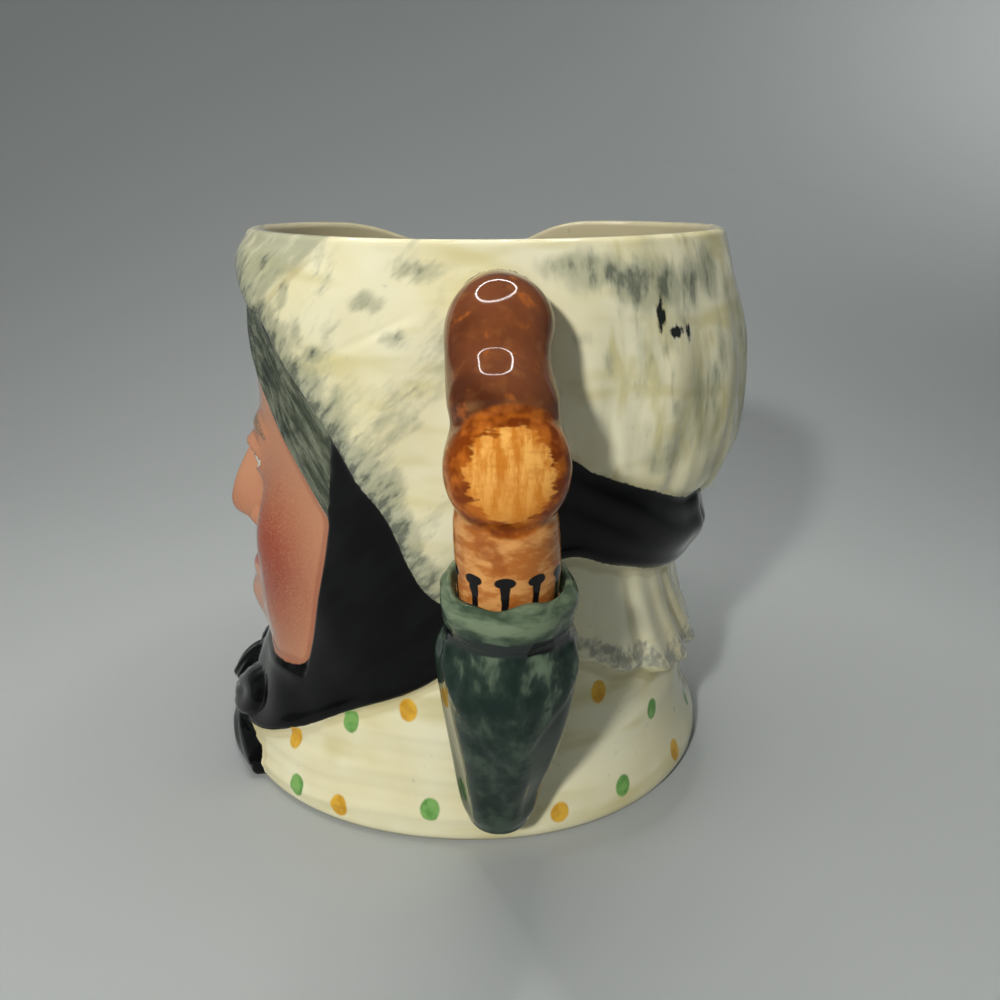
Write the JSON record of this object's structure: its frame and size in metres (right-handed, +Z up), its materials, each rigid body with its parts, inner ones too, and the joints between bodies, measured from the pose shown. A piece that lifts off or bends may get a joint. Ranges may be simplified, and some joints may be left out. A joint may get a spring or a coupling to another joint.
{
  "type": "toby jug",
  "caption": "Hollow glazed earthenware jug shaped as a head in a tied mob cap and spotted neckerchief, with a pouring lip and a folded-umbrella handle.",
  "frame": {"origin": "middle of the part's outline seen from above, on the surface that it stands on", "axes": "+Z up, face towards -Y, handle towards +X"},
  "size_m": [0.1894, 0.1632, 0.155],
  "materials": {
    "painted_glaze": "hand-painted earthenware under a clear gloss glaze"
  },
  "bodies": {
    "root": {"jug": "painted_glaze"}
  },
  "joints": []
}
